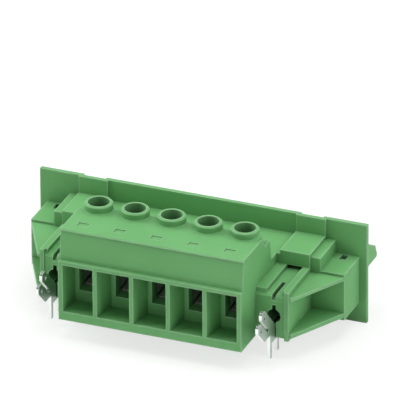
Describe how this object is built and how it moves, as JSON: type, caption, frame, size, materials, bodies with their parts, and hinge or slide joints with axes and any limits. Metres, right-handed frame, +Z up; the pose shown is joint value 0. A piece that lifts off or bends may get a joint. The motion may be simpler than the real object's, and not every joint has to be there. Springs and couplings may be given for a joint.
{
  "type": "feed-through pcb connector",
  "caption": "Feed-through connector with screw-clamped wire entries in front, a panel plate and a pin shroud behind, and solder clips on its flanges.",
  "frame": {"origin": "on the board's surface, in the middle of the four solder pins, which is on the housing's underside", "axes": "+X along the row of poles, +Y from the wire entries to the mating side, +Z up from the board"},
  "size_m": [0.0916, 0.0523, 0.0335],
  "materials": {
    "housing": "fine moulded grain",
    "cage_steel": "zinc-plated",
    "screw_steel": "zinc-plated",
    "contact_tin": "tin-plated",
    "nut_brass": "turned",
    "clip_tin": "tin-plated sheet"
  },
  "bodies": {
    "connector": {"housing": "housing", "contact_bar_1": "contact_tin", "contact_bar_2": "contact_tin", "contact_bar_3": "contact_tin", "contact_bar_4": "contact_tin", "contact_bar_5": "contact_tin", "flange_nut_left": "nut_brass", "flange_nut_right": "nut_brass", "solder_clip_left": "clip_tin", "solder_clip_right": "clip_tin"},
    "clamp_screw_1": {"clamp_screw_1": "screw_steel"},
    "clamp_cage_1": {"clamp_cage_1": "cage_steel"},
    "clamp_screw_2": {"clamp_screw_2": "screw_steel"},
    "clamp_cage_2": {"clamp_cage_2": "cage_steel"},
    "clamp_screw_3": {"clamp_screw_3": "screw_steel"},
    "clamp_cage_3": {"clamp_cage_3": "cage_steel"},
    "clamp_screw_4": {"clamp_screw_4": "screw_steel"},
    "clamp_cage_4": {"clamp_cage_4": "cage_steel"},
    "clamp_screw_5": {"clamp_screw_5": "screw_steel"},
    "clamp_cage_5": {"clamp_cage_5": "cage_steel"}
  },
  "joints": [
    {"name": "screw_turn_1", "type": "hinge", "parent": "connector", "child": "clamp_screw_1", "pos_m": [-0.02032, 0.00625, 0.02], "axis": [0, 0, -1], "range_deg": [0, 2340]},
    {"name": "cage_lift_1", "type": "slide", "parent": "connector", "child": "clamp_cage_1", "axis": [0, 0, 1], "range_m": [0, 0.00455]},
    {"name": "screw_turn_2", "type": "hinge", "parent": "connector", "child": "clamp_screw_2", "pos_m": [-0.01016, 0.00625, 0.02], "axis": [0, 0, -1], "range_deg": [0, 2340]},
    {"name": "cage_lift_2", "type": "slide", "parent": "connector", "child": "clamp_cage_2", "axis": [0, 0, 1], "range_m": [0, 0.00455]},
    {"name": "screw_turn_3", "type": "hinge", "parent": "connector", "child": "clamp_screw_3", "pos_m": [0, 0.00625, 0.02], "axis": [0, 0, -1], "range_deg": [0, 2340]},
    {"name": "cage_lift_3", "type": "slide", "parent": "connector", "child": "clamp_cage_3", "axis": [0, 0, 1], "range_m": [0, 0.00455]},
    {"name": "screw_turn_4", "type": "hinge", "parent": "connector", "child": "clamp_screw_4", "pos_m": [0.01016, 0.00625, 0.02], "axis": [0, 0, -1], "range_deg": [0, 2340]},
    {"name": "cage_lift_4", "type": "slide", "parent": "connector", "child": "clamp_cage_4", "axis": [0, 0, 1], "range_m": [0, 0.00455]},
    {"name": "screw_turn_5", "type": "hinge", "parent": "connector", "child": "clamp_screw_5", "pos_m": [0.02032, 0.00625, 0.02], "axis": [0, 0, -1], "range_deg": [0, 2340]},
    {"name": "cage_lift_5", "type": "slide", "parent": "connector", "child": "clamp_cage_5", "axis": [0, 0, 1], "range_m": [0, 0.00455]}
  ],
  "couplings": [
    {"joint": "screw_turn_1", "follows": "cage_lift_1", "rad_per_m": 8976},
    {"joint": "screw_turn_2", "follows": "cage_lift_2", "rad_per_m": 8976},
    {"joint": "screw_turn_3", "follows": "cage_lift_3", "rad_per_m": 8976},
    {"joint": "screw_turn_4", "follows": "cage_lift_4", "rad_per_m": 8976},
    {"joint": "screw_turn_5", "follows": "cage_lift_5", "rad_per_m": 8976}
  ]
}
